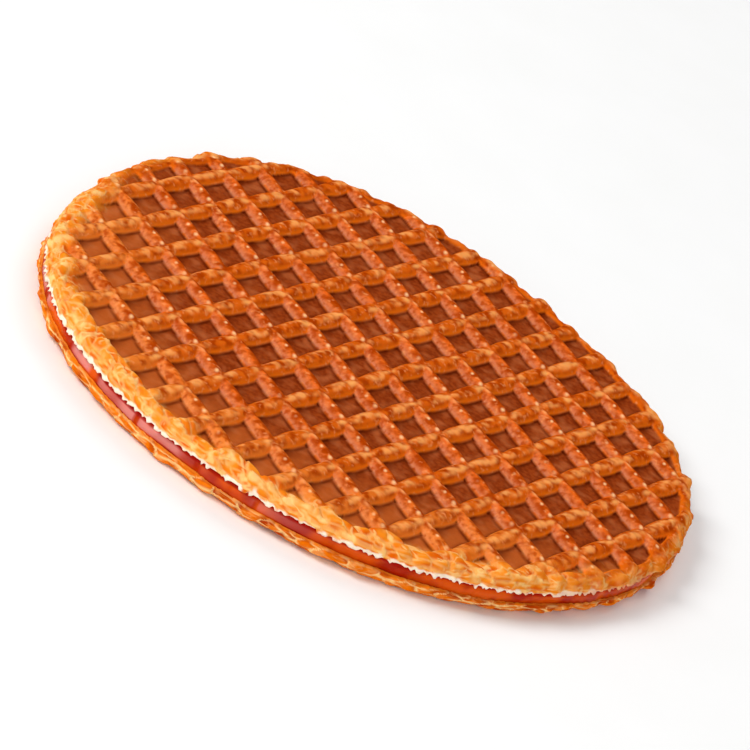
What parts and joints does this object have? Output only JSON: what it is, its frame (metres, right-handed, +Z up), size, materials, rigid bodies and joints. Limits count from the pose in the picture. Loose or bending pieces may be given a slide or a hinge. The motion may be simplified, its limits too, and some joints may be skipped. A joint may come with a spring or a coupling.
{
  "type": "stroopwafel",
  "caption": "Round caramel waffle biscuit: thin crisp golden-brown wafers with a skewed grid of pits, and glossy red-brown syrup between them.",
  "frame": {"origin": "centre of the bounding box at the foot, where the ridges of the lower wafer rest", "axes": "+Z up through the layers, out of the gridded top; +X and +Y lie in the disc"},
  "size_m": [0.1, 0.1002, 0.0064],
  "materials": {
    "baked_wafer": "baked waffle, buttery satin crust, browner in the pits and pale cream at the rim",
    "caramel_syrup": "glossy set caramel syrup",
    "baked_wafer_under": "baked waffle, golden, satin"
  },
  "bodies": {
    "root": {"wafer_top": "baked_wafer", "syrup": "caramel_syrup", "wafer_bottom": "baked_wafer_under"}
  },
  "joints": []
}
